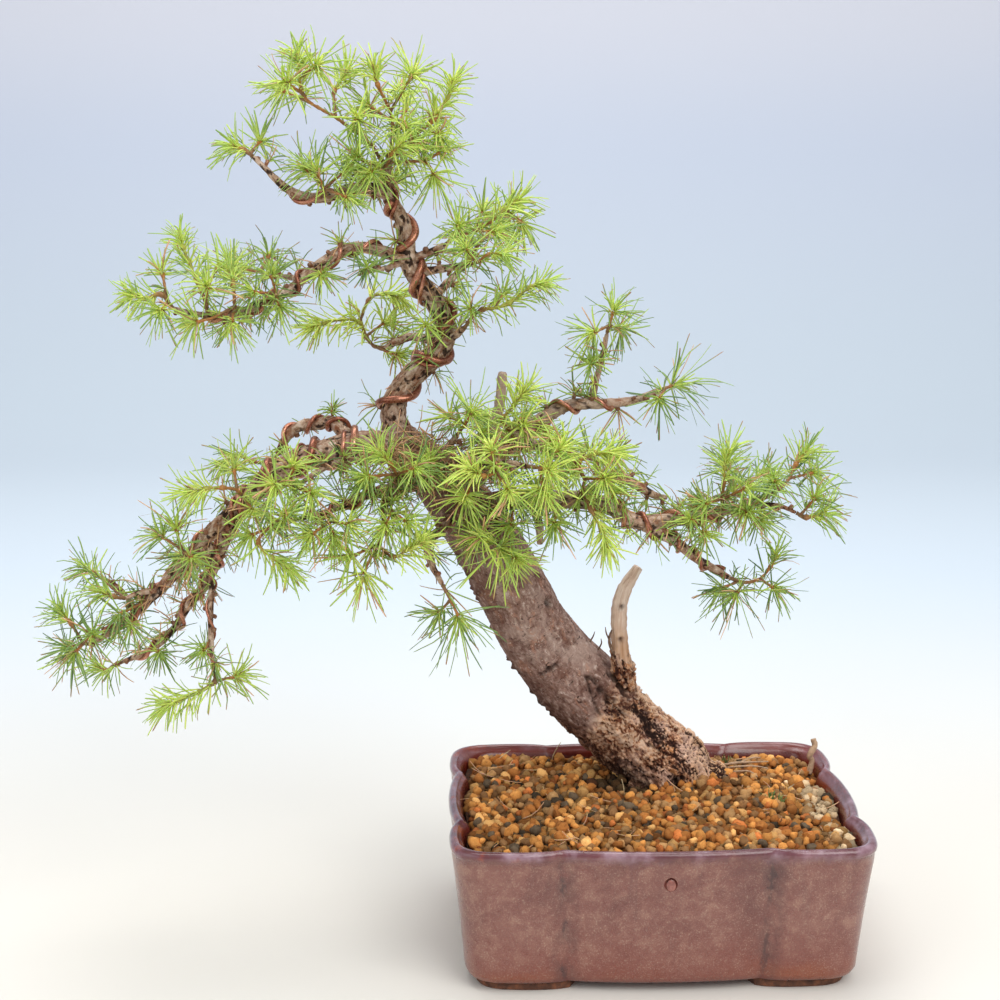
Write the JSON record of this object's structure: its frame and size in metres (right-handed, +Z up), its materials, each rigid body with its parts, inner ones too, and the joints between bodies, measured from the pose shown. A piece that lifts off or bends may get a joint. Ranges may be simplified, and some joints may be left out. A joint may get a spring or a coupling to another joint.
{
  "type": "european larch bonsai",
  "caption": "European larch bonsai: leaning trunk, wired branches with needle tufts and bare deadwood, planted in gritty soil in a lobed, brown-glazed, footed pot.",
  "frame": {"origin": "middle of the bottom of the whole object's bounding box, on the surface that the pot stands on", "axes": "+Z up, +X to the viewer's right along the pot's long side, -Y towards the viewer on the show side"},
  "size_m": [0.4364, 0.2102, 0.4877],
  "materials": {
    "glaze": "satin",
    "mesh": "matte",
    "soil": "matte",
    "bark": "matte",
    "wire": "satin",
    "needles": "satin"
  },
  "bodies": {
    "root": {"pot": "glaze", "drainage_mesh_left": "mesh", "drainage_mesh_right": "mesh", "soil": "soil", "tree": "bark", "wire_arch": "wire", "wire_left": "wire", "wire_left_main": "wire", "wire_right": "wire", "wire_top_left": "wire", "wire_trunk": "wire", "spray_arch_end": "needles", "spray_arch_twig": "needles", "spray_b1_end": "needles", "spray_b1_mid": "needles", "spray_back_centre": "needles", "spray_back_inner": "needles", "spray_back_left": "needles", "spray_back_mid": "needles", "spray_back_right": "needles", "spray_back_upper": "needles", "spray_cascade_back": "needles", "spray_cascade_end": "needles", "spray_cascade_top": "needles", "spray_cascade_twig": "needles", "spray_centre_end": "needles", "spray_centre_left": "needles", "spray_centre_low": "needles", "spray_centre_right": "needles", "spray_centre_shoot": "needles", "spray_centre_up": "needles", "spray_crown_front": "needles", "spray_crown_left": "needles", "spray_crown_mid": "needles", "spray_crown_right": "needles", "spray_front_hang": "needles", "spray_front_left_end": "needles", "spray_front_left_low": "needles", "spray_front_left_up": "needles", "spray_hanging_end": "needles", "spray_left_back": "needles", "spray_left_fan": "needles", "spray_left_in": "needles", "spray_left_low": "needles", "spray_left_main_back": "needles", "spray_left_pad": "needles", "spray_left_shoot": "needles", "spray_left_tip": "needles", "spray_low_cascade_end": "needles", "spray_low_mid": "needles", "spray_r1": "needles", "spray_r2": "needles", "spray_r3": "needles", "spray_right_back": "needles", "spray_right_end": "needles", "spray_right_low": "needles", "spray_right_tip": "needles", "spray_right_up": "needles", "spray_up_end": "needles", "spray_up_tip": "needles"}
  },
  "joints": []
}
